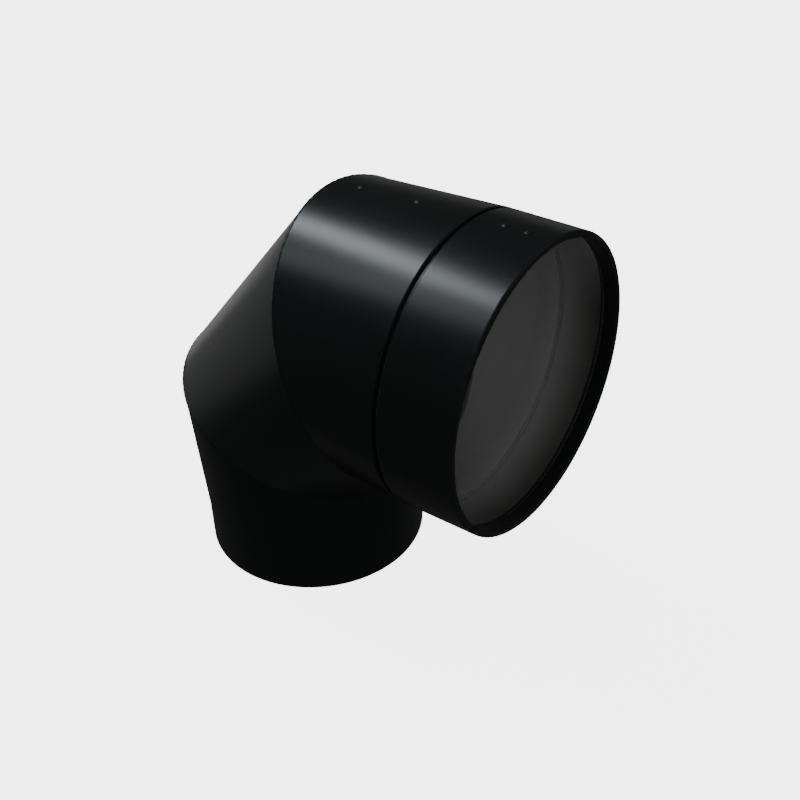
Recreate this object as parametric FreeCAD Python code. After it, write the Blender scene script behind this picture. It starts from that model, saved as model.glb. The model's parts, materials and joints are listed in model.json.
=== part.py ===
"""Twin-wall flue elbow, 90 degrees, in three mitred gores and a swivel collar.

The black outer casing carries a thinner steel liner, with an air gap between
them. Gases enter through the upright spigot at the bottom and leave through
the level socket, whose collar turns about the outlet axis.

Frame: the origin is the centre of the spigot's bottom face, +Z runs up the
inlet axis, and the outlet axis runs along +X. Every gore is made in its own
upright frame, with its axis on Z and the outside of the bend towards -X, and
is then turned about Y into place. Lengths are in millimetres.
"""
import FreeCAD, Part
import math
import os

Vector = FreeCAD.Vector

# ---- driving sizes -------------------------------------------------------
spigot_diameter = 130.0      # outside of the inlet spigot
spigot_length = 25.0         # plain round stretch that enters a pipe
pipe_diameter = 150.0        # outside of the pipe that the socket takes
pipe_clearance = 0.3         # radial play of that pipe in the socket

casing_wall = 0.8
liner_wall = 0.5
air_gap = 2.6

inlet_height = 94.0          # spigot face to the lower mitre's centre
middle_length = 91.0         # lower to upper mitre centre
upper_length = 47.5          # upper mitre centre to the swivel joint
collar_length = 44.0         # swivel joint to the mouth
bend_angle = 90.0            # inlet axis to outlet axis

lower_mitre_swell = 4.0      # spigot's radius to that of the lower mitre's ball
upper_mitre_taper = 2.2      # upper mitre's ball to the collar's radius

# swivel joint between the upper gore and the collar
joint_groove = 2.4           # open groove between the two casings
swivel_clearance = 0.3       # between what turns and what stays
neck_length = 12.0           # neck of the upper gore inside the collar
swivel_ring_wall = 0.8
retaining_ring_length = 3.0
stop_ring_length = 2.0
stop_ring_height = 1.5
swivel_seal_length = 4.0
liner_overlap = 10.0         # end of the upper liner inside the collar's sleeve
sleeve_start = 2.0           # collar's sleeve starts this far past the joint
swage_setback = 6.0          # upper liner narrows from this far behind the joint
swage_length = 4.0

# mouth of the socket
rim_wall = 1.4               # front of the rim ring, ahead of the casing's edge
rim_edge_radius = 1.1        # of its two front edges
liner_setback = 10.0         # mouth to the liner's flange
pipe_stop_step = 1.0         # shoulder in the bore that stops the pipe
rope_recess = 0.3            # rope sits back from the bore
rope_clearance = 0.2         # rope to the casing
tongue_wall = 0.8

# ring that closes the air gap at the spigot
end_ring_wall = 0.6
end_ring_height = 6.0
end_ring_recess = 0.5

# spacers that keep the liner central
spacer_length = 8.0
spacer_angle = 12.0
spacer_count = 4
lower_spacer_height = 12.0   # above the spigot face
upper_spacer_setback = 16.0  # behind the swivel joint
collar_spacer_start = 19.0   # past the swivel joint

# lengthwise seams of the casing, each with a strip behind it and two rivets
outlet_seam_angle = -4.0     # from the outside of the bend towards -Y
inlet_seam_angle = -60.0     # spigot and middle gores, staggered round the bend
strip_width = 12.0
strip_wall = 0.8
rivet_head_radius = 2.2
rivet_head_height = 0.9
rivet_shank_radius = 1.2
rivet_tail_radius = 1.8
rivet_tail_height = 0.7
rivet_hole_clearance = 0.1
rivet_pitch = 35.0
spigot_rivet_height = 42.0   # first rivet above the spigot face
upper_rivet_setback = 20.0   # first rivet behind the upper mitre's centre
collar_rivet_margin = 3.0    # from each end of the collar's strip

# ---- sizes that follow ---------------------------------------------------
spigot_radius = spigot_diameter / 2
bore_radius = pipe_diameter / 2 + pipe_clearance
socket_outer = bore_radius + liner_wall
collar_inner = socket_outer + air_gap
collar_radius = collar_inner + casing_wall
lower_mitre_radius = spigot_radius + lower_mitre_swell      # balls that the casing touches
upper_mitre_radius = collar_radius - upper_mitre_taper
liner_inset = casing_wall + air_gap
duct_inset = liner_inset + liner_wall
strip_inset = casing_wall + strip_wall

rope_radius = (collar_inner - bore_radius - rope_recess - rope_clearance) / 2
rim_depth = liner_setback - liner_wall - 2 * rope_radius

half_bend = bend_angle / 2
groove_half = joint_groove / 2
upper_end = upper_length - groove_half

neck_radius = collar_inner - swivel_ring_wall - swivel_clearance
neck_inner = neck_radius - casing_wall
flange_radius = collar_inner - swivel_clearance
stop_start = neck_length + swivel_clearance
sleeve_inner = bore_radius - pipe_stop_step
sleeve_end = liner_overlap + swivel_clearance
male_radius = sleeve_inner - swivel_clearance
male_inner = male_radius - liner_wall

reach = 2 * collar_radius    # longer than any stretch that a mitre trims


# ---- cones and mitres ----------------------------------------------------
def direction(angle):
    """Unit vector at an angle from +Z towards +X."""
    turn = math.radians(angle)
    return Vector(math.sin(turn), 0, math.cos(turn))


class Skin:
    """Outer cone of a gore: the ball that it touches at its mitre, and its lean."""

    def __init__(self, ball, lean):
        self.ball = ball
        self.lean = lean

    def radius(self, height, inset=0.0):
        """Radius at a height above the ball's centre, at a depth inside the cone."""
        return (self.ball - inset) / math.cos(self.lean) + height * math.tan(self.lean)

    def height(self, radius, inset=0.0):
        """Height above the ball's centre at which the cone has a radius."""
        return (radius - (self.ball - inset) / math.cos(self.lean)) / math.tan(self.lean)


class Mitre:
    """Joint of two cones that touch one ball, so that they meet in a plane."""

    def __init__(self, centre, ball, lean_before, angle_before, lean_after, angle_after):
        self.centre = centre
        self.ball = ball
        self.spread = math.tan(lean_before) + math.tan(lean_after)
        self.normal = (direction(angle_before) * (1 / math.cos(lean_before))
                       + direction(angle_after) * (1 / math.cos(lean_after)))

    def block(self, inset, side):
        """Block that removes what lies after the mitre (side 1) or before it (-1)."""
        unit = Vector(self.normal).normalize()
        shift = -(self.ball - inset) * self.spread / self.normal.Length
        low = 0 if side > 0 else -2 * reach
        block = Part.makeBox(4 * reach, 4 * reach, 2 * reach, Vector(-2 * reach, -2 * reach, low))
        return placed(block, math.degrees(math.atan2(unit.x, unit.z)), self.centre + unit * shift)


def lean_below(ball, radius, drop):
    """Lean of a cone that touches a ball and has a radius at a depth below it."""
    return math.atan2(drop, radius) - math.acos(ball / math.hypot(radius, drop))


def lean_above(ball, radius, rise):
    """Lean of a cone that touches a ball and has a radius at a height above it."""
    return math.acos(ball / math.hypot(radius, rise)) - math.atan2(rise, radius)


lower_centre = Vector(0, 0, inlet_height)
upper_centre = lower_centre + direction(half_bend) * middle_length
joint_centre = upper_centre + direction(bend_angle) * upper_length

spigot_skin = Skin(lower_mitre_radius,
                   lean_below(lower_mitre_radius, spigot_radius, inlet_height - spigot_length))
middle_skin = Skin(lower_mitre_radius,
                   math.asin((upper_mitre_radius - lower_mitre_radius) / middle_length))
upper_skin = Skin(upper_mitre_radius, lean_above(upper_mitre_radius, collar_radius, upper_end))

lower_mitre = Mitre(lower_centre, lower_mitre_radius,
                    spigot_skin.lean, 0, middle_skin.lean, half_bend)
upper_mitre = Mitre(upper_centre, upper_mitre_radius,
                    middle_skin.lean, half_bend, upper_skin.lean, bend_angle)


# ---- shapes --------------------------------------------------------------
def ring(outline, middle=0.0, sweep=360.0):
    """Turn an outline of (radius, height) points about Z, centred on an angle.

    The angle is measured from the outside of the bend, -X, towards -Y.
    """
    corners = [Vector(radius, 0, height) for radius, height in outline]
    face = Part.Face(Part.makePolygon(corners + corners[:1]))
    solid = face.revolve(Vector(0, 0, 0), Vector(0, 0, 1), sweep)
    solid.rotate(Vector(0, 0, 0), Vector(0, 0, 1), 180 + middle - sweep / 2)
    return solid


def tube(outer, inner, low, high, middle=0.0, sweep=360.0):
    """A plain round tube standing on Z, or a sector of one."""
    return ring([(outer, low), (outer, high), (inner, high), (inner, low)], middle, sweep)


def placed(shape, angle, centre):
    """Turn a shape from upright into its gore's direction and place it."""
    moved = shape.copy()
    moved.rotate(Vector(0, 0, 0), Vector(0, 1, 0), angle)
    moved.translate(centre)
    return moved


def write(name, shape):
    """Write one piece, or one group of equal pieces, as a STEP file."""
    shape.exportStep("parts/" + name + ".step")


# ---- walls of the gores --------------------------------------------------
def spigot_side(inset, low, high):
    """Outline of the spigot gore at a depth inside: plain below its waist, then a cone."""
    plain = spigot_radius - inset
    waist = inlet_height + spigot_skin.height(plain, inset)
    heights = [low, waist, high] if low < waist < high else [low, high]
    return [(max(plain, spigot_skin.radius(height - inlet_height, inset)), height)
            for height in heights]


def cone_wall(skin, outer_inset, inner_inset, low, high):
    """Outline of a wall between two depths inside a gore's cone."""
    return [(skin.radius(low, outer_inset), low), (skin.radius(high, outer_inset), high),
            (skin.radius(high, inner_inset), high), (skin.radius(low, inner_inset), low)]


def spigot_piece(outer_inset, inner_inset, low, high, middle=0.0, sweep=360.0):
    """Piece of the spigot gore, trimmed at the lower mitre."""
    outline = spigot_side(outer_inset, low, high) + spigot_side(inner_inset, low, high)[::-1]
    return ring(outline, middle, sweep).cut(lower_mitre.block(outer_inset, 1))


def middle_piece(outer_inset, inner_inset, low, high, middle=0.0, sweep=360.0):
    """Piece of the middle gore, trimmed at both mitres."""
    outline = cone_wall(middle_skin, outer_inset, inner_inset, low, high)
    piece = placed(ring(outline, middle, sweep), half_bend, lower_centre)
    return piece.cut(lower_mitre.block(outer_inset, -1)).cut(upper_mitre.block(outer_inset, 1))


def upper_piece(outline, inset, middle=0.0, sweep=360.0):
    """Piece of the upper gore from its own outline, trimmed at the upper mitre."""
    piece = placed(ring(outline, middle, sweep), bend_angle, upper_centre)
    return piece.cut(upper_mitre.block(inset, -1))


def casing_upper_outline():
    """Cone, shoulder at the joint groove, neck inside the collar and its flange."""
    neck_end = upper_length + neck_length
    shoulder = upper_end - casing_wall
    return [(upper_skin.radius(-reach), -reach),
            (collar_radius, upper_end),
            (neck_radius, upper_end),
            (neck_radius, neck_end - casing_wall),
            (flange_radius, neck_end - casing_wall),
            (flange_radius, neck_end),
            (neck_inner, neck_end),
            (neck_inner, shoulder),
            (upper_skin.radius(shoulder, casing_wall), shoulder),
            (upper_skin.radius(-reach, casing_wall), -reach)]


def liner_upper_outline():
    """Cone, swaged down to the plain end that slips inside the collar's sleeve."""
    end = upper_length + liner_overlap
    swage = upper_length - swage_setback
    return [(upper_skin.radius(-reach, liner_inset), -reach),
            (upper_skin.radius(swage, liner_inset), swage),
            (male_radius, swage + swage_length),
            (male_radius, end),
            (male_inner, end),
            (male_inner, swage + swage_length),
            (upper_skin.radius(swage, duct_inset), swage),
            (upper_skin.radius(-reach, duct_inset), -reach)]


# ---- pieces of the collar, upright, with heights from the swivel joint ----
def casing_collar():
    """Outer casing of the socket."""
    return tube(collar_radius, collar_inner, groove_half, collar_length - rim_wall)


def rim_ring():
    """Ring that caps the two walls at the mouth, with a lead-in lip and a tongue in the casing."""
    back = collar_length - rim_depth
    cap = collar_length - rim_wall
    tongue_inner = collar_inner - tongue_wall
    solid = ring([(collar_radius, cap), (collar_radius, collar_length),
                  (bore_radius, collar_length), (bore_radius, back),
                  (socket_outer, back), (socket_outer, cap),
                  (tongue_inner, cap), (tongue_inner, back),
                  (collar_inner, back), (collar_inner, cap)])
    front = [edge for edge in solid.Edges
             if edge.BoundBox.ZMin > cap + rim_edge_radius and edge.Length > bore_radius]
    return solid.makeFillet(rim_edge_radius, front)


def liner_socket():
    """Bore of the socket, with a flange at its front, and a sloped shoulder and sleeve behind."""
    front = collar_length - liner_setback
    sleeve_outer = sleeve_inner + liner_wall
    shoulder = sleeve_end + pipe_stop_step
    fold = liner_wall * math.tan(math.radians(22.5))    # keeps the slope as thick as the wall
    return ring([(sleeve_inner, sleeve_start), (sleeve_inner, sleeve_end),
                 (bore_radius, shoulder), (bore_radius, front),
                 (collar_inner, front), (collar_inner, front - liner_wall),
                 (socket_outer, front - liner_wall), (socket_outer, shoulder - fold),
                 (sleeve_outer, sleeve_end - fold), (sleeve_outer, sleeve_start)])


def rope_seal():
    """Rope ring between the liner's flange and the rim ring."""
    centre = bore_radius + rope_recess + rope_radius
    height = collar_length - liner_setback + rope_radius
    return Part.makeTorus(centre, rope_radius, Vector(0, 0, height), Vector(0, 0, 1))


def on_collar(shape):
    """Place an upright piece whose heights count from the swivel joint."""
    return placed(shape, bend_angle, joint_centre)


def end_ring():
    """Channel ring that closes the air gap at the spigot, open upwards."""
    outer = spigot_radius - casing_wall
    inner = spigot_radius - liner_inset
    low = end_ring_recess
    high = low + end_ring_height
    floor = low + end_ring_wall
    return ring([(outer, low), (outer, high), (outer - end_ring_wall, high),
                 (outer - end_ring_wall, floor), (inner + end_ring_wall, floor),
                 (inner + end_ring_wall, high), (inner, high), (inner, low)])


# ---- spacers -------------------------------------------------------------
def spacers(make, seam_angle):
    """Group of equal spacers around an axis, clear of the lengthwise seam."""
    step = 360 / spacer_count
    return Part.makeCompound([make(seam_angle + step * (number + 0.5))
                              for number in range(spacer_count)])


def lower_spacer(angle):
    high = lower_spacer_height + spacer_length
    return spigot_piece(casing_wall, liner_inset, lower_spacer_height, high, angle, spacer_angle)


def middle_spacer(angle):
    """Spacer halfway along the middle gore, clear of the upper gore's edge."""
    low = (middle_length - spacer_length) / 2
    block = middle_piece(casing_wall, liner_inset, low, low + spacer_length, angle, spacer_angle)
    return block.cut(upper_mitre.block(0, 1))


def upper_spacer(angle):
    low = upper_length - upper_spacer_setback
    outline = cone_wall(upper_skin, casing_wall, liner_inset, low, low + spacer_length)
    return upper_piece(outline, casing_wall, angle, spacer_angle)


def collar_spacer(angle):
    high = collar_spacer_start + spacer_length
    return on_collar(tube(collar_inner, socket_outer, collar_spacer_start, high,
                          angle, spacer_angle))


# ---- seam strips and rivets ----------------------------------------------
def strip_sweep(radius):
    """Angle that a seam strip covers at a radius."""
    return math.degrees(strip_width / radius)


def rivet(radius):
    """Domed head above Z = 0, shank through casing and strip, and closed tail.

    The tail's rim rests on the strip's hollow side, where the casing has this radius.
    """
    seat = radius - casing_wall - strip_wall
    grip = radius - math.sqrt(seat ** 2 - rivet_tail_radius ** 2)
    rise = rivet_head_height
    ball = (rivet_head_radius ** 2 + rise ** 2) / (2 * rise)
    head = Part.makeSphere(ball, Vector(0, 0, rise - ball))
    cap = Part.makeCylinder(rivet_head_radius, rise)
    shank = Part.makeCylinder(rivet_shank_radius, grip + rise / 2, Vector(0, 0, -grip))
    tail = Part.makeCylinder(rivet_tail_radius, rivet_tail_height,
                             Vector(0, 0, -grip - rivet_tail_height))
    return head.common(cap).fuse(shank).fuse(tail).removeSplitter()


def rivet_hole():
    """Drill for a rivet, through casing and strip together."""
    depth = 2 * (casing_wall + strip_wall)
    return Part.makeCylinder(rivet_shank_radius + rivet_hole_clearance, 2 * depth,
                             Vector(0, 0, -depth))


def on_seam(shape, seam_angle, radius, height, lean):
    """Stand a shape on a casing at its seam, square to the surface."""
    stood = shape.copy()
    stood.rotate(Vector(0, 0, 0), Vector(0, 1, 0), -90 - math.degrees(lean))
    stood.translate(Vector(-radius, 0, height))
    stood.rotate(Vector(0, 0, 0), Vector(0, 0, 1), seam_angle)
    return stood


def fasten(casing, strip, seam_angle, places, angle, centre):
    """Drill casing and strip at each (radius, height, lean), and make the rivets."""
    rivets = []
    for place in places:
        drill = placed(on_seam(rivet_hole(), seam_angle, *place), angle, centre)
        casing = casing.cut(drill)
        strip = strip.cut(drill)
        rivets.append(placed(on_seam(rivet(place[0]), seam_angle, *place), angle, centre))
    return casing, strip, rivets


def cone_places(skin, heights):
    """Rivet places on a gore's cone as (radius, height, lean)."""
    return [(skin.radius(height), height, skin.lean) for height in heights]


# ---- the elbow -----------------------------------------------------------
def write_spigot_gore():
    """Inlet: casing, liner, seam strip, spacers and end ring. Gives its rivets."""
    strip = spigot_piece(casing_wall, strip_inset, spigot_length, reach,
                         inlet_seam_angle, strip_sweep(spigot_radius))
    first = spigot_rivet_height - inlet_height
    places = cone_places(spigot_skin, [first, first + rivet_pitch])
    casing, strip, rivets = fasten(spigot_piece(0, casing_wall, 0, reach), strip,
                                   inlet_seam_angle, places, 0, lower_centre)
    write("casing_spigot_gore", casing)
    write("spigot_seam_strip", strip)
    write("liner_spigot_gore", spigot_piece(liner_inset, duct_inset, 0, reach))
    write("spigot_end_ring", end_ring())
    write("lower_spacers", spacers(lower_spacer, inlet_seam_angle))
    return rivets


def write_middle_gore():
    """Diagonal: casing, liner, seam strip and spacers. Gives its rivets."""
    low = -reach / 2
    high = middle_length + reach / 2
    strip = middle_piece(casing_wall, strip_inset, low, high,
                         inlet_seam_angle, strip_sweep(lower_mitre_radius))
    first = (middle_length - rivet_pitch) / 2
    places = cone_places(middle_skin, [first, first + rivet_pitch])
    casing, strip, rivets = fasten(middle_piece(0, casing_wall, low, high), strip,
                                   inlet_seam_angle, places, half_bend, lower_centre)
    write("casing_middle_gore", casing)
    write("middle_seam_strip", strip)
    write("liner_middle_gore", middle_piece(liner_inset, duct_inset, low, high))
    write("middle_spacers", spacers(middle_spacer, inlet_seam_angle))
    return rivets


def write_upper_gore():
    """Outlet side: casing with its swivel neck, liner, strip, spacers and seal."""
    outline = cone_wall(upper_skin, casing_wall, strip_inset,
                        -reach / 2, upper_end - 2 * casing_wall)
    strip = upper_piece(outline, casing_wall, outlet_seam_angle, strip_sweep(upper_mitre_radius))
    first = -upper_rivet_setback
    places = cone_places(upper_skin, [first, first + rivet_pitch])
    casing, strip, rivets = fasten(upper_piece(casing_upper_outline(), 0), strip,
                                   outlet_seam_angle, places, bend_angle, upper_centre)
    write("casing_upper_gore", casing)
    write("upper_seam_strip", strip)
    write("liner_upper_gore", upper_piece(liner_upper_outline(), liner_inset))
    write("upper_spacers", spacers(upper_spacer, outlet_seam_angle))
    seal_end = neck_length - casing_wall
    write("swivel_seal", on_collar(tube(flange_radius, neck_radius,
                                        seal_end - swivel_seal_length, seal_end)))
    return rivets


def write_collar():
    """Everything that turns with the socket."""
    strip_low = stop_start + stop_ring_length + swivel_clearance
    strip_high = collar_length - liner_setback - 2 * liner_wall
    strip = tube(collar_inner, collar_inner - strip_wall, strip_low, strip_high,
                 outlet_seam_angle, strip_sweep(collar_radius))
    places = [(collar_radius, height, 0.0) for height in
              (strip_low + collar_rivet_margin, strip_high - collar_rivet_margin)]
    casing, strip, rivets = fasten(on_collar(casing_collar()), on_collar(strip),
                                   outlet_seam_angle, places, bend_angle, joint_centre)
    write("casing_collar", casing)
    write("collar_seam_strip", strip)
    write("collar_rivets", Part.makeCompound(rivets))
    write("collar_rim_ring", on_collar(rim_ring()))
    write("liner_socket", on_collar(liner_socket()))
    write("socket_rope_seal", on_collar(rope_seal()))
    write("swivel_retaining_ring",
          on_collar(tube(collar_inner, collar_inner - swivel_ring_wall,
                         groove_half, groove_half + retaining_ring_length)))
    write("swivel_stop_ring", on_collar(tube(collar_inner, collar_inner - stop_ring_height,
                                             stop_start, stop_start + stop_ring_length)))
    write("collar_spacers", spacers(collar_spacer, outlet_seam_angle))


os.makedirs("parts", exist_ok=True)
gore_rivets = write_spigot_gore() + write_middle_gore() + write_upper_gore()
write("gore_rivets", Part.makeCompound(gore_rivets))
write_collar()
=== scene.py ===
"""Looks of a black twin-wall flue elbow, in metres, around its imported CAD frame.

The casing, the rim of the mouth, the liner and its packing rope are modelled
here. Rivets, seam strips, spacers and swivel rings are the frame's own pieces.
"""
import json
import math

import bmesh
import bpy
from mathutils import Matrix, Vector


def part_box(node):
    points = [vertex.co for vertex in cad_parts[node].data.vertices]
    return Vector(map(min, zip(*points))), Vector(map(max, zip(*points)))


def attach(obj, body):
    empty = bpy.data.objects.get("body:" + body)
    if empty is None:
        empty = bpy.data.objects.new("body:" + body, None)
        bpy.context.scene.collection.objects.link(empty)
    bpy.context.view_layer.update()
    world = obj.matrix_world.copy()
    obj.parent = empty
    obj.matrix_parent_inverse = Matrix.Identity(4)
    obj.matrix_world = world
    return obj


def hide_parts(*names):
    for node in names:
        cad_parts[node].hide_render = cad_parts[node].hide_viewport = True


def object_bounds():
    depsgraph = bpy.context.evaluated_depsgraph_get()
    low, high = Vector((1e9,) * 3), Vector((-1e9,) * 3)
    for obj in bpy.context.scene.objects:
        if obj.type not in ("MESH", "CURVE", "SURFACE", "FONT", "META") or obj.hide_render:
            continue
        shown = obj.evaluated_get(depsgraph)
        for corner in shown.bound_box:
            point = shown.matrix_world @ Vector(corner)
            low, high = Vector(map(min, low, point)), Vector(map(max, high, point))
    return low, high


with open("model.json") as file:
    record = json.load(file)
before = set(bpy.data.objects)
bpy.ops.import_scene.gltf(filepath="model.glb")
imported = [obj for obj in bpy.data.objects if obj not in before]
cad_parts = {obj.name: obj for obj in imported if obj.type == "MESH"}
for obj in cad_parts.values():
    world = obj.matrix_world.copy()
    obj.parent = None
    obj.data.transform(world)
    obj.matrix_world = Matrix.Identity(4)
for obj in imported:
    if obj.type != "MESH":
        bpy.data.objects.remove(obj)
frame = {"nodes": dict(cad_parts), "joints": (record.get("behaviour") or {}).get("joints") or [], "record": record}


def corners(bounds):
    """A box as plain lists of numbers."""
    return [list(corner) for corner in bounds]


cad_box = corners(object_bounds())

# ---- sizes, from the frame and the gores' own layout -----------------------
MM = 0.001
mounts = {mount["name"]: mount for mount in frame["record"]["mounts"]}
JOINT = Vector(frame["joints"][0]["pos_m"])
SPIGOT_RADIUS = mounts["inlet_spigot"]["dims"]["r_mm"] * MM
SPIGOT_LENGTH = mounts["inlet_spigot"]["dims"]["length_mm"] * MM
BORE = mounts["outlet_socket"]["dims"]["r_mm"] * MM
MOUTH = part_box("collar_rim_ring")[1].x - JOINT.x
COLLAR_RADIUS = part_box("casing_collar")[1].y
LINER_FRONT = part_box("liner_socket")[1].x - JOINT.x
GROOVE_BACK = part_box("casing_collar")[0].x - JOINT.x
COLLAR_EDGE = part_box("casing_collar")[1].x - JOINT.x
NECK_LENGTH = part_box("casing_upper_gore")[1].x - JOINT.x
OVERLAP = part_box("liner_upper_gore")[1].x - JOINT.x
SLEEVE_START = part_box("liner_socket")[0].x - JOINT.x

CASING_WALL = 0.8 * MM
LINER_WALL = 0.5 * MM
AIR_GAP = 2.6 * MM
PIPE_STOP_STEP = 1.0 * MM
SWAGE_SETBACK = 6.0 * MM
SWAGE_LENGTH = 4.0 * MM
LINER_INSET = CASING_WALL + AIR_GAP
DUCT_INSET = LINER_INSET + LINER_WALL
CLEARANCE = 0.3 * MM
NECK_GAP = 1.1 * MM           # between the upper gore's neck and the collar
LOWER_SWELL = 4 * MM          # casing radius at the mitres, against that of its ends
UPPER_TAPER = 2.2 * MM
NECK_RADIUS = COLLAR_RADIUS - CASING_WALL - NECK_GAP
LOWER_BALL = SPIGOT_RADIUS + LOWER_SWELL
UPPER_BALL = COLLAR_RADIUS - UPPER_TAPER
MIDDLE_LENGTH = 91 * MM
BEND = math.radians(90)
HALF = BEND / 2

LOWER = Vector((0, 0, JOINT.z - MIDDLE_LENGTH * math.cos(HALF)))
UPPER = Vector((MIDDLE_LENGTH * math.sin(HALF), 0, JOINT.z))
UPPER_LENGTH = JOINT.x - UPPER.x
UPPER_END = UPPER_LENGTH - GROOVE_BACK

RIM_EDGE = 1.1 * MM           # rounding of the rim's front edges
JOINT_EDGE = 0.8 * MM         # rounding of the casing beside the swivel groove
SHEET_EDGE = 0.25 * MM        # rounding of the other sheet edges
CREASE = math.radians(40)     # edges sharper than this keep their line in the shading
ELBOW_MIDDLE = (0.07, 0, 0.14)
COOL = (0.88, 0.95, 1.0)
ROUND_STEPS = 256             # faces round a pipe
WELD_STEPS = 720              # points round a weld bead
ARC_STEPS = 6                 # faces of a rounded edge
MERGE = 0.001 * MM            # points closer than this are one


# ---- cones and mitres ------------------------------------------------------
def toward(angle):
    """Unit vector at an angle from +Z towards +X."""
    return Vector((math.sin(angle), 0, math.cos(angle)))


class Cone:
    """Outer skin of a gore: the ball it touches and its lean."""

    def __init__(self, ball, lean):
        self.ball = ball
        self.lean = lean

    def radius(self, height, inset=0.0):
        """Radius at a height above the ball's centre, at a depth inside the skin."""
        return (self.ball - inset) / math.cos(self.lean) + height * math.tan(self.lean)

    def height(self, radius, inset=0.0):
        """Height at which the cone has a radius."""
        return (radius - (self.ball - inset) / math.cos(self.lean)) / math.tan(self.lean)


def lean_to(ball, radius, distance):
    """Angle pair of a cone from a ball to a ring at a distance."""
    return math.acos(ball / math.hypot(radius, distance)), math.atan2(distance, radius)


touch, fall = lean_to(LOWER_BALL, SPIGOT_RADIUS, LOWER.z - SPIGOT_LENGTH)
SPIGOT = Cone(LOWER_BALL, fall - touch)
MIDDLE = Cone(LOWER_BALL, math.asin((UPPER_BALL - LOWER_BALL) / MIDDLE_LENGTH))
touch, rise = lean_to(UPPER_BALL, COLLAR_RADIUS, UPPER_END)
OUTLET = Cone(UPPER_BALL, touch - rise)


def mitre(centre, ball, lean_before, angle_before, lean_after, angle_after, inset):
    """Point and normal of the plane in which two cones meet."""
    normal = toward(angle_before) / math.cos(lean_before) + toward(angle_after) / math.cos(lean_after)
    shift = -(ball - inset) * (math.tan(lean_before) + math.tan(lean_after)) / normal.length
    normal.normalize()
    return centre + normal * shift, normal


def lower_mitre(inset=0.0):
    return mitre(LOWER, LOWER_BALL, SPIGOT.lean, 0, MIDDLE.lean, HALF, inset)


def upper_mitre(inset=0.0):
    return mitre(UPPER, UPPER_BALL, MIDDLE.lean, HALF, OUTLET.lean, BEND, inset)


# ---- mesh tools ------------------------------------------------------------
def spun(outline, steps=ROUND_STEPS):
    """Closed outline of (radius, height) points turned about Z."""
    shape = bmesh.new()
    points = [shape.verts.new((radius, 0, height)) for radius, height in outline]
    edges = [shape.edges.new((start, end)) for start, end in zip(points, points[1:] + points[:1])]
    bmesh.ops.spin(shape, geom=points + edges, cent=(0, 0, 0), axis=(0, 0, 1), dvec=(0, 0, 0),
                   angle=2 * math.pi, steps=steps, use_merge=True, use_duplicate=False)
    bmesh.ops.remove_doubles(shape, verts=shape.verts[:], dist=MERGE)
    bmesh.ops.recalc_face_normals(shape, faces=shape.faces[:])
    return shape


def placed(shape, angle, centre):
    """Turn an upright shape into its gore's direction and place it."""
    turn = Matrix.Translation(centre) @ Matrix.Rotation(angle, 4, "Y")
    bmesh.ops.transform(shape, matrix=turn, verts=shape.verts[:])
    return shape


def trimmed(shape, plane, side):
    """Remove a tube wall beyond a plane (side 1) or before it, and close the cut."""
    point, normal = plane
    cut = bmesh.ops.bisect_plane(shape, geom=shape.verts[:] + shape.edges[:] + shape.faces[:],
                                 dist=MERGE, plane_co=point, plane_no=normal * side,
                                 clear_outer=True, clear_inner=False)
    rim = [item for item in cut["geom_cut"] if isinstance(item, bmesh.types.BMEdge)]
    bmesh.ops.bridge_loops(shape, edges=rim)
    bmesh.ops.recalc_face_normals(shape, faces=shape.faces[:])
    return shape


def softened(shape, width):
    """Round every sharp edge."""
    least = math.radians(25)
    sharp = [edge for edge in shape.edges
             if len(edge.link_faces) == 2 and edge.calc_face_angle() > least]
    bmesh.ops.bevel(shape, geom=sharp, offset=width, offset_type="OFFSET", segments=2,
                    profile=0.5, affect="EDGES", clamp_overlap=True, material=-1)
    return shape


def piece(name, shape, material, body, replaced=()):
    """Finish a shape as a smooth piece that rides on a body."""
    mesh = bpy.data.meshes.new(name)
    shape.to_mesh(mesh)
    shape.free()
    mesh.shade_smooth()
    mesh.set_sharp_from_angle(angle=CREASE)
    made = bpy.data.objects.new(name, mesh)
    bpy.context.scene.collection.objects.link(made)
    mesh.materials.append(material)
    weigh = made.modifiers.new("even_shading", "WEIGHTED_NORMAL")
    weigh.keep_sharp = True
    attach(made, body)
    if replaced:
        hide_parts(*replaced)


def rounded(points, centre, radius, start, stop, count):
    """Add an arc of (radius, height) points to an outline."""
    for number in range(count + 1):
        angle = start + (stop - start) * number / count
        points.append((centre[0] + radius * math.cos(angle), centre[1] + radius * math.sin(angle)))
    return points


# ---- shader tools ----------------------------------------------------------
class Wire:
    """A number socket, with the maths operators that the finishes use."""

    def __init__(self, finish, socket):
        self.finish = finish
        self.socket = socket

    def _maths(self, operation, first, second):
        return Wire(self.finish, self.finish.node("ShaderNodeMath", {"operation": operation},
                                                  {0: first, 1: second}).outputs[0])

    def __add__(self, other):
        return self._maths("ADD", self, other)

    __radd__ = __add__

    def __sub__(self, other):
        return self._maths("SUBTRACT", self, other)

    def __mul__(self, other):
        return self._maths("MULTIPLY", self, other)

    __rmul__ = __mul__


def abs_of(finish, value):
    """Size of a number without its sign."""
    return Wire(finish, finish.node("ShaderNodeMath", {"operation": "ABSOLUTE"},
                                    {0: value}).outputs[0])


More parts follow.
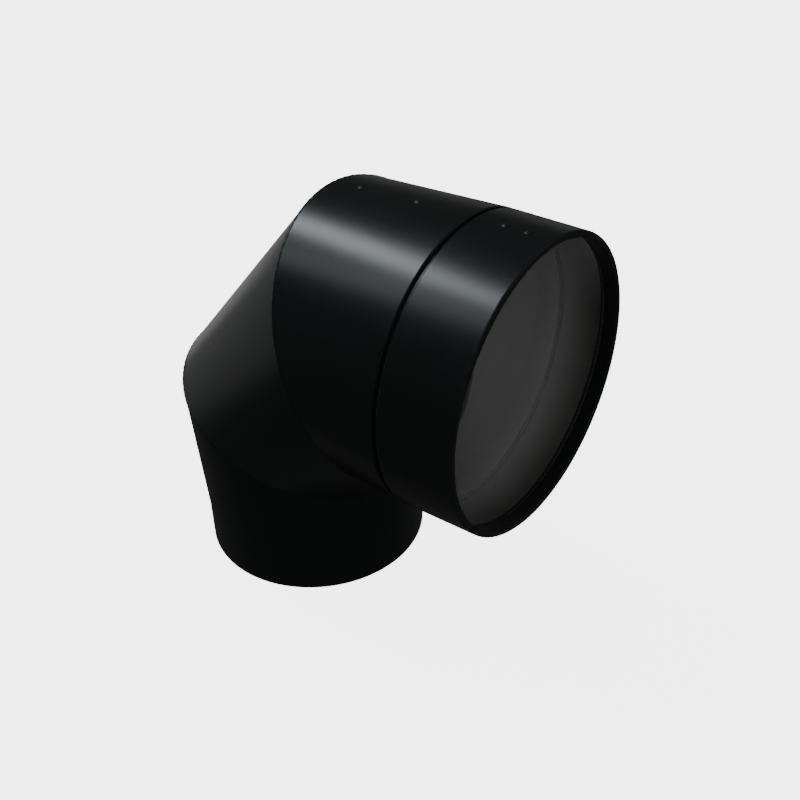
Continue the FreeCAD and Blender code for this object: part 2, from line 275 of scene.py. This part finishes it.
class Finish:
    """A material under construction."""

    def __init__(self, name):
        self.material = bpy.data.materials.new(name)
        self.material.use_nodes = True
        self.tree = self.material.node_tree
        self.shader = self.tree.nodes["Principled BSDF"]

    def node(self, kind, settings, sockets):
        """Make a node: its settings first, then its sockets' values or links."""
        made = self.tree.nodes.new(kind)
        for name, value in settings.items():
            setattr(made, name, value)
        for key, value in sockets.items():
            self.feed(made.inputs[key], value)
        return made

    def feed(self, socket, value):
        """Link or set one socket."""
        if isinstance(value, Wire):
            value = value.socket
        if isinstance(value, bpy.types.NodeSocket):
            self.tree.links.new(value, socket)
        else:
            socket.default_value = value

    def place(self, scale=(1, 1, 1), turn=(0, 0, 0)):
        """Object coordinates, stretched and turned."""
        coordinates = self.node("ShaderNodeTexCoord", {}, {}).outputs["Object"]
        return self.node("ShaderNodeMapping", {"vector_type": "POINT"},
                         {"Vector": coordinates, "Scale": scale, "Rotation": turn}).outputs[0]

    def noise(self, scale, detail=2.0, rough=0.5, vector=None):
        """Cloudy pattern from 0 to 1, with features of about 1 / scale metres."""
        return Wire(self, self.node("ShaderNodeTexNoise", {},
                                    {"Vector": vector or self.place(), "Scale": scale,
                                     "Detail": detail, "Roughness": rough}).outputs[0])

    def ramp(self, value, low, high):
        """Smooth step from 0 at low to 1 at high."""
        return Wire(self, self.node("ShaderNodeMapRange", {"interpolation_type": "SMOOTHSTEP"},
                                    {"Value": value, "From Min": low, "From Max": high}).outputs[0])

    def tint(self, mask, first, second):
        """Colour that goes from the first to the second with a mask."""
        return self.node("ShaderNodeMix", {"data_type": "RGBA"},
                         {"Factor": mask, 6: self.colour(first), 7: self.colour(second)}).outputs[2]

    def colour(self, value):
        """A colour's link as it is, or its three numbers with an alpha."""
        return value if isinstance(value, bpy.types.NodeSocket) else (*value, 1)

    def relief(self, height, depth, strength=1.0):
        """Bump of a height pattern, with its depth in metres."""
        bump = self.node("ShaderNodeBump", {}, {"Strength": strength, "Distance": depth,
                                                "Height": height})
        self.feed(self.shader.inputs["Normal"], bump.outputs[0])

    def set(self, **values):
        """Set or link the shader's sockets; underscores stand for spaces."""
        for name, value in values.items():
            self.feed(self.shader.inputs[name.replace("_", " ")], value)


def black_paint(name, seed, sheen):
    """Satin heat-resistant black paint with a fine orange peel."""
    paint = Finish(name)
    clouds = paint.noise(9 + seed, 4, 0.6)
    peel = paint.noise(900, 2, 0.5)
    waves = paint.noise(22 + seed, 1, 0.4)
    dust = paint.ramp(paint.noise(2600, 2, 0.6), 0.66, 0.78)
    paint.set(Base_Color=paint.tint(clouds, (0.0055, 0.0066, 0.0070), (0.0095, 0.0110, 0.0115)),
              Roughness=sheen + 0.10 * (clouds - 0.5) + 0.10 * dust,
              Specular_IOR_Level=0.42)
    paint.relief(0.05 * peel + waves, 0.00035, 0.35)
    return paint.material


def liner_metal(name, turn, painted_shade=None):
    """Dull rolled stainless sheet, with its grain round the pipe, darkened with painted shade where a mask says.
    """
    metal = Finish(name)
    grain = metal.noise(1, 3, 0.6, metal.place(scale=(60, 60, 2600), turn=turn))
    clouds = metal.noise(14, 3, 0.55)
    bright = metal.tint(clouds, (0.30, 0.305, 0.305), (0.40, 0.405, 0.40))
    if painted_shade:
        # painted shade: where the mask is set, the metal is darkened towards near-black
        bright = metal.tint(painted_shade(metal, clouds), bright, (0.035, 0.033, 0.030))
    metal.set(Base_Color=bright,
              Metallic=0.45, Roughness=0.52 + 0.10 * (clouds - 0.5) + 0.08 * (grain - 0.5))
    metal.relief(grain, 0.00004, 0.4)
    return metal.material


def socket_painted_shade(metal, clouds):
    """Painted shade: a dark line in the pipe stop's corner, and a darker patch low on one side of
    the bore's mouth. Guessed dirt: a dark line in the pipe stop's corner, and a darker patch low
    on one side of the bore's mouth. Both turn with the collar."""
    place = metal.node("ShaderNodeSeparateXYZ", {}, {0: metal.place()})
    along, across, up = (Wire(metal, output) for output in place.outputs)
    stop = JOINT.x + OVERLAP + CLEARANCE + PIPE_STOP_STEP / 2
    corner_reach, corner_full = 1.6 * MM, 0.4 * MM
    shade_patch_start = JOINT.x + LINER_FRONT - 26 * MM
    shade_patch_full = JOINT.x + LINER_FRONT + 10 * MM
    ragged = 12 * MM
    # painted shade: a dark line at the pipe stop's step, and a dark patch low on one side of the mouth
    corner = metal.ramp(abs_of(metal, along - stop), corner_reach, corner_full)
    side = metal.ramp(across * 0.6 - (up - JOINT.z) * 0.8, -20 * MM, 50 * MM)
    shade_patch = metal.ramp(along + ragged * clouds, shade_patch_start, shade_patch_full)
    return 0.45 * corner + 0.9 * shade_patch * side


def plain_steel():
    """Mill-finish steel of the hidden rings and strips."""
    metal = Finish("joint_steel")
    clouds = metal.noise(60, 3, 0.6)
    metal.set(Base_Color=metal.tint(clouds, (0.30, 0.30, 0.31), (0.42, 0.42, 0.43)),
              Metallic=1.0, Roughness=0.42 + 0.2 * (clouds - 0.5))
    metal.relief(metal.noise(1500, 2, 0.5), 0.00003, 0.5)
    return metal.material


def fibre_board():
    """Pressed ceramic fibre of the spacers."""
    board = Finish("fibre_board")
    fibres = board.noise(900, 4, 0.7)
    board.set(Base_Color=board.tint(fibres, (0.62, 0.60, 0.56), (0.80, 0.78, 0.74)), Roughness=0.92)
    board.relief(fibres, 0.0002, 0.8)
    return board.material


def packing_rope():
    """Graphite-coated glass-fibre yarn."""
    rope = Finish("packing_rope")
    yarn = rope.noise(2500, 3, 0.6)
    rope.set(Base_Color=rope.tint(yarn, (0.010, 0.010, 0.011), (0.035, 0.035, 0.037)),
             Roughness=0.72 + 0.2 * (yarn - 0.5))
    rope.relief(yarn, 0.0001, 0.8)
    return rope.material


CASING_PAINT = black_paint("casing_paint", 0, 0.29)
RIM_PAINT = black_paint("rim_paint", 3, 0.34)
RIVET_PAINT = black_paint("rivet_paint", 5, 0.46)
JOINT_STEEL = plain_steel()
FIBRE = fibre_board()
ROPE = packing_rope()


# ---- casing ----------------------------------------------------------------
def wall(outer, inner):
    """Closed outline of a wall from its outer and inner sides."""
    return outer + inner[::-1]


def spigot_side(inset):
    """Spigot gore at a depth inside: plain below its waist, then a cone."""
    plain = SPIGOT_RADIUS - inset
    waist = SPIGOT.height(plain, inset)
    top = COLLAR_RADIUS
    return [(plain, 0), (plain, LOWER.z + waist), (SPIGOT.radius(top, inset), LOWER.z + top)]


def cone_side(cone, inset, low, high):
    return [(cone.radius(low, inset), low), (cone.radius(high, inset), high)]


def spigot_tube(outer, inner):
    shape = spun(wall(spigot_side(outer), spigot_side(inner)))
    return trimmed(shape, lower_mitre(outer), 1)


def middle_tube(outer, inner):
    low, high = -COLLAR_RADIUS, MIDDLE_LENGTH + COLLAR_RADIUS
    shape = spun(wall(cone_side(MIDDLE, outer, low, high), cone_side(MIDDLE, inner, low, high)))
    placed(shape, HALF, LOWER)
    return trimmed(trimmed(shape, lower_mitre(outer), -1), upper_mitre(outer), 1)


def casing():
    """The three gores of the casing."""
    piece("spigot_casing", softened(spigot_tube(0, CASING_WALL), SHEET_EDGE), CASING_PAINT,
          "elbow", ["casing_spigot_gore"])
    piece("middle_casing", softened(middle_tube(0, CASING_WALL), SHEET_EDGE), CASING_PAINT,
          "elbow", ["casing_middle_gore"])
    neck_end = UPPER_LENGTH + NECK_LENGTH
    shoulder = UPPER_END - CASING_WALL
    flange = COLLAR_RADIUS - CASING_WALL - CLEARANCE
    neck_inner = NECK_RADIUS - CASING_WALL
    outline = [(OUTLET.radius(-COLLAR_RADIUS), -COLLAR_RADIUS)]
    rounded(outline, (COLLAR_RADIUS - JOINT_EDGE, UPPER_END - JOINT_EDGE), JOINT_EDGE,
            -OUTLET.lean, math.pi / 2, ARC_STEPS)
    outline += [(NECK_RADIUS, UPPER_END), (NECK_RADIUS, neck_end - CASING_WALL),
               (flange, neck_end - CASING_WALL), (flange, neck_end), (neck_inner, neck_end),
               (neck_inner, shoulder), (OUTLET.radius(shoulder, CASING_WALL), shoulder),
               (OUTLET.radius(-COLLAR_RADIUS, CASING_WALL), -COLLAR_RADIUS)]
    upper = trimmed(placed(spun(outline), BEND, UPPER), upper_mitre(), -1)
    piece("upper_casing", softened(upper, SHEET_EDGE), CASING_PAINT,
          "elbow", ["casing_upper_gore"])


def seam_loop(shape, plane):
    """Points of the outer edge where a plane cuts a tube, in order."""
    point, normal = plane
    cut = bmesh.ops.bisect_plane(shape, geom=shape.verts[:] + shape.edges[:] + shape.faces[:],
                                 dist=MERGE, plane_co=point, plane_no=normal,
                                 clear_outer=True, clear_inner=True)
    points = [item.co.copy() for item in cut["geom_cut"] if isinstance(item, bmesh.types.BMVert)]
    middle = sum(points, Vector()) / len(points)
    across = normal.cross(Vector((0, 1, 0))).normalized()
    points.sort(key=lambda spot: math.atan2((spot - middle).y, (spot - middle).dot(across)))
    shape.free()
    return points


def tube_along(name, points, radius, sides, swell=None):
    """Closed tube through a loop of points, as a bmesh."""
    curve = bpy.data.curves.new(name, "CURVE")
    curve.dimensions = "3D"
    curve.bevel_depth = radius
    curve.bevel_resolution = sides
    spline = curve.splines.new("POLY")
    spline.points.add(len(points) - 1)
    for number, (target, spot) in enumerate(zip(spline.points, points)):
        target.co = (*spot, 1)
        if swell:
            target.radius = swell(number)
    spline.use_cyclic_u = True
    holder = bpy.data.objects.new(name, curve)
    mesh = bpy.data.meshes.new_from_object(holder)
    shape = bmesh.new()
    shape.from_mesh(mesh)
    bpy.data.objects.remove(holder)
    bpy.data.curves.remove(curve)
    bpy.data.meshes.remove(mesh)
    bmesh.ops.remove_doubles(shape, verts=shape.verts[:], dist=MERGE)
    bmesh.ops.recalc_face_normals(shape, faces=shape.faces[:])
    return shape


def mitre_weld(name, plane):
    """Painted weld bead round one of the middle gore's mitres, kept inside the frame's box."""
    sunk = 0.62 * MM
    bead = 0.95 * MM
    deep = 20 * MM
    outer_share = 0.85
    ripple_depth = 0.07
    ripple_pitch = 0.9
    low, high = -COLLAR_RADIUS, MIDDLE_LENGTH + COLLAR_RADIUS
    skin = spun(wall(cone_side(MIDDLE, sunk, low, high), cone_side(MIDDLE, deep, low, high)),
                WELD_STEPS)
    placed(skin, HALF, LOWER)
    points = seam_loop(skin, plane)
    middle = sum(points, Vector()) / len(points)
    far = max((spot - middle).length for spot in points)
    outer = [spot for spot in points if (spot - middle).length > far * outer_share]
    ripple = [1 + ripple_depth * math.sin(ripple_pitch * number) for number in range(len(outer))]
    shape = tube_along(name, outer, bead, 3, lambda number: ripple[number])
    for corner in shape.verts:
        corner.co.x = max(corner.co.x, cad_box[0][0])
    piece(name, shape, CASING_PAINT, "elbow")


# ---- collar ----------------------------------------------------------------
def on_collar(shape):
    return placed(shape, BEND, JOINT)


def collar():
    """Casing of the collar, and the rim that caps it at the mouth."""
    inner = COLLAR_RADIUS - CASING_WALL
    outline = rounded([], (COLLAR_RADIUS - JOINT_EDGE, GROOVE_BACK + JOINT_EDGE), JOINT_EDGE,
                      -math.pi / 2, 0, ARC_STEPS)
    outline += [(COLLAR_RADIUS, COLLAR_EDGE), (inner, COLLAR_EDGE)]
    piece("collar_casing", on_collar(spun(outline)), CASING_PAINT,
          "collar", ["casing_collar"])
    piece("mouth_rim", on_collar(spun(rim_outline())), RIM_PAINT,
          "collar", ["collar_rim_ring"])


def rim_outline():
    """Cap over both walls at the mouth, with a lead-in lip and a tongue in the casing."""
    inner = COLLAR_RADIUS - CASING_WALL
    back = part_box("collar_rim_ring")[0].x - JOINT.x
    points = [(inner, back), (inner, COLLAR_EDGE), (COLLAR_RADIUS, COLLAR_EDGE)]
    front = MOUTH - RIM_EDGE
    rounded(points, (COLLAR_RADIUS - RIM_EDGE, front), RIM_EDGE, 0, math.pi / 2, ARC_STEPS)
    rounded(points, (BORE + RIM_EDGE, front), RIM_EDGE, math.pi / 2, math.pi, ARC_STEPS)
    return points + [(BORE, back), (BORE + LINER_WALL, back), (BORE + LINER_WALL, COLLAR_EDGE),
                     (inner - CASING_WALL, COLLAR_EDGE), (inner - CASING_WALL, back)]


def liner():
    """Bare steel duct, from the spigot to the mouth."""
    upright = liner_metal("liner_steel_spigot", (0, 0, 0))
    slanted = liner_metal("liner_steel_middle", (0, -HALF, 0))
    level = liner_metal("liner_steel_outlet", (0, -BEND, 0))
    piece("spigot_liner", spigot_tube(LINER_INSET, DUCT_INSET), upright,
          "elbow", ["liner_spigot_gore"])
    piece("middle_liner", middle_tube(LINER_INSET, DUCT_INSET), slanted,
          "elbow", ["liner_middle_gore"])
    end = UPPER_LENGTH + OVERLAP
    sleeve = BORE - PIPE_STOP_STEP
    male = sleeve - CLEARANCE
    swage = UPPER_LENGTH - SWAGE_SETBACK
    outline = [(OUTLET.radius(-COLLAR_RADIUS, LINER_INSET), -COLLAR_RADIUS),
               (OUTLET.radius(swage, LINER_INSET), swage), (male, swage + SWAGE_LENGTH), (male, end),
               (male - LINER_WALL, end), (male - LINER_WALL, swage + SWAGE_LENGTH),
               (OUTLET.radius(swage, DUCT_INSET), swage),
               (OUTLET.radius(-COLLAR_RADIUS, DUCT_INSET), -COLLAR_RADIUS)]
    upper = trimmed(placed(spun(outline), BEND, UPPER), upper_mitre(LINER_INSET), -1)
    piece("upper_liner", upper, level, "elbow", ["liner_upper_gore"])
    step = OVERLAP + CLEARANCE
    shoulder = step + PIPE_STOP_STEP
    slope = math.radians(45)
    fold = LINER_WALL * math.tan(slope / 2)
    flange = COLLAR_RADIUS - CASING_WALL
    socket = [(sleeve, SLEEVE_START), (sleeve, step), (BORE, shoulder), (BORE, LINER_FRONT),
              (flange, LINER_FRONT), (flange, LINER_FRONT - LINER_WALL),
              (BORE + LINER_WALL, LINER_FRONT - LINER_WALL), (BORE + LINER_WALL, shoulder - fold),
              (sleeve + LINER_WALL, step - fold), (sleeve + LINER_WALL, SLEEVE_START)]
    # socket metal with painted shade in the pipe stop's corner and low on one side of the mouth
    painted_shade_metal = liner_metal("liner_steel_socket", (0, -BEND, 0), socket_painted_shade)
    piece("socket_liner", on_collar(spun(socket)), painted_shade_metal, "collar", ["liner_socket"])


def end_ring():
    """Channel ring that closes the air gap at the spigot."""
    low, high = (corner.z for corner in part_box("spigot_end_ring"))
    outer = SPIGOT_RADIUS - CASING_WALL
    inner = SPIGOT_RADIUS - LINER_INSET
    fold = 0.6 * MM
    edge = 0.2 * MM
    outline = [(outer, low), (outer, high), (outer - fold, high), (outer - fold, low + fold),
               (inner + fold, low + fold), (inner + fold, high), (inner, high), (inner, low)]
    piece("end_channel", softened(spun(outline), edge), RIM_PAINT,
          "elbow", ["spigot_end_ring"])


def twisted_ring(radius, height, thick, pitch, strands):
    """Strands twisted round a ring that lies square to Z."""
    yarn_share = 0.52
    points_a_turn = 10
    yarn = thick * yarn_share
    turns = round(2 * math.pi * radius / pitch)
    count = turns * points_a_turn
    whole = bmesh.new()
    for strand in range(strands):
        points = []
        for number in range(count):
            around = 2 * math.pi * number / count
            twist = turns * around + 2 * math.pi * strand / strands
            reach = radius + (thick - yarn) * math.cos(twist)
            points.append(Vector((reach * math.cos(around), reach * math.sin(around),
                                  height + (thick - yarn) * math.sin(twist))))
        shape = tube_along("yarn", points, yarn, 2)
        mesh = bpy.data.meshes.new("yarn")
        shape.to_mesh(mesh)
        shape.free()
        whole.from_mesh(mesh)
        bpy.data.meshes.remove(mesh)
    return whole


def ropes():
    """Packing between the liner's flange and the rim."""
    low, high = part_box("socket_rope_seal")
    thick = (high.x - low.x) / 2
    pitch = 5 * MM
    rope = twisted_ring(high.y - thick, (low.x + high.x) / 2 - JOINT.x, thick, pitch, 3)
    piece("mouth_rope", on_collar(rope), ROPE, "collar", ["socket_rope_seal"])


def frame_finishes():
    """Materials of the frame's own pieces that stay."""
    finishes = {"rivet_paint": RIVET_PAINT, "joint_steel": JOINT_STEEL, "fibre_board": FIBRE,
                "seal_rope": ROPE}
    slots = {part["node"]: part["material_slot"] for part in frame["record"]["subparts"]}
    for name, node in frame["nodes"].items():
        if slots[name] in finishes:
            node.data.materials.clear()
            node.data.materials.append(finishes[slots[name]])


# ---- studio ----------------------------------------------------------------
def studio_floor():
    """Pale floor that curves up into a dome, so every side has the same plain background."""
    dome_radius = 7
    below_spigot = 0.5 * MM
    finish = Finish("floor")
    finish.set(Base_Color=(0.86, 0.86, 0.86, 1), Roughness=0.9, Specular_IOR_Level=0.1,
               Emission_Color=(1, 1, 1, 1), Emission_Strength=4.2)
    shape = bmesh.new()
    bmesh.ops.create_uvsphere(shape, u_segments=96, v_segments=48, radius=dome_radius)
    for corner in shape.verts:
        corner.co.z = max(corner.co.z, 0)
    mesh = bpy.data.meshes.new("floor")
    shape.to_mesh(mesh)
    shape.free()
    mesh.materials.append(finish.material)
    floor = bpy.data.objects.new("floor", mesh)
    floor.location.z = -below_spigot
    floor.visible_glossy = False
    floor.visible_diffuse = False
    floor.visible_shadow = False
    bpy.context.scene.collection.objects.link(floor)


def aimed(holder, spot, target, roll=0.0):
    """Point a camera or light at a target, turned about its view line."""
    turn = (Vector(target) - Vector(spot)).to_track_quat("-Z", "Y").to_matrix().to_4x4()
    holder.matrix_world = (Matrix.Translation(Vector(spot)) @ turn
                           @ Matrix.Rotation(math.radians(roll), 4, "Z"))


def seen_from(azimuth, elevation, distance, target):
    """Place at angles round a target; azimuth 0 is on the -Y side, 90 on +X."""
    side, up = math.radians(azimuth), math.radians(elevation)
    return Vector(target) + distance * Vector((math.sin(side) * math.cos(up),
                                               -math.cos(side) * math.cos(up), math.sin(up)))


def area_light(name, azimuth, elevation, distance, size, power, roll=0.0, tint=(1, 1, 1),
               shown=True):
    """Rectangular light aimed at the elbow; one that isn't shown lights, but has no reflection."""
    lamp = bpy.data.lights.new(name, "AREA")
    lamp.shape = "RECTANGLE"
    lamp.size, lamp.size_y = size
    lamp.energy = power
    lamp.color = tint
    holder = bpy.data.objects.new(name, lamp)
    bpy.context.scene.collection.objects.link(holder)
    aimed(holder, seen_from(azimuth, elevation, distance, ELBOW_MIDDLE), ELBOW_MIDDLE, roll)
    holder.visible_glossy = shown
    holder.visible_camera = False


def studio():
    """Floor, lights and a faint even world. Light angles in degrees, sizes in metres, watts."""
    world_strength = 0.045
    studio_floor()
    area_light("key", -91, 56, 1.5, (0.22, 0.80), 7.3, -35, COOL)
    area_light("key_edge", -61, 50, 1.6, (0.32, 0.9), 1.9, -35, COOL)
    area_light("overhead", 0, 90, 2.5, (3.2, 3.2), 25, shown=False)
    area_light("mouth_fill", 50, 20, 1.2, (0.7, 0.7), 4.2, shown=False)
    area_light("left_fill", -85, 35, 1.8, (0.9, 0.9), 3, shown=False)
    area_light("left_soft", -78, -4, 2.0, (2.0, 1.5), 1.7)
    area_light("far_soft", -150, -3, 2.0, (1.0, 0.6), 0.2)
    area_light("back_soft", 130, 25, 2.0, (1.8, 1.6), 1.8)
    area_light("bounce", -128, -23, 0.8, (0.62, 0.36), 0.32)
    world = bpy.data.worlds.new("studio")
    world.use_nodes = True
    world.node_tree.nodes["Background"].inputs[0].default_value = (1, 1, 1, 1)
    world.node_tree.nodes["Background"].inputs[1].default_value = world_strength
    bpy.context.scene.world = world


def camera():
    azimuth, elevation, distance, roll = 37.65, 35.79, 0.6783, -2.2315
    lens = bpy.data.cameras.new("camera")
    lens.sensor_width = 36
    lens.lens = 56.03
    holder = bpy.data.objects.new("camera", lens)
    bpy.context.scene.collection.objects.link(holder)
    target = Vector((0.06753, 0, 0.11544))
    aimed(holder, seen_from(azimuth, elevation, distance, target), target, roll)
    bpy.context.scene.camera = holder


casing()
mitre_weld("lower_weld", lower_mitre())
mitre_weld("upper_weld", upper_mitre())
collar()
liner()
end_ring()
ropes()
frame_finishes()
studio()
camera()
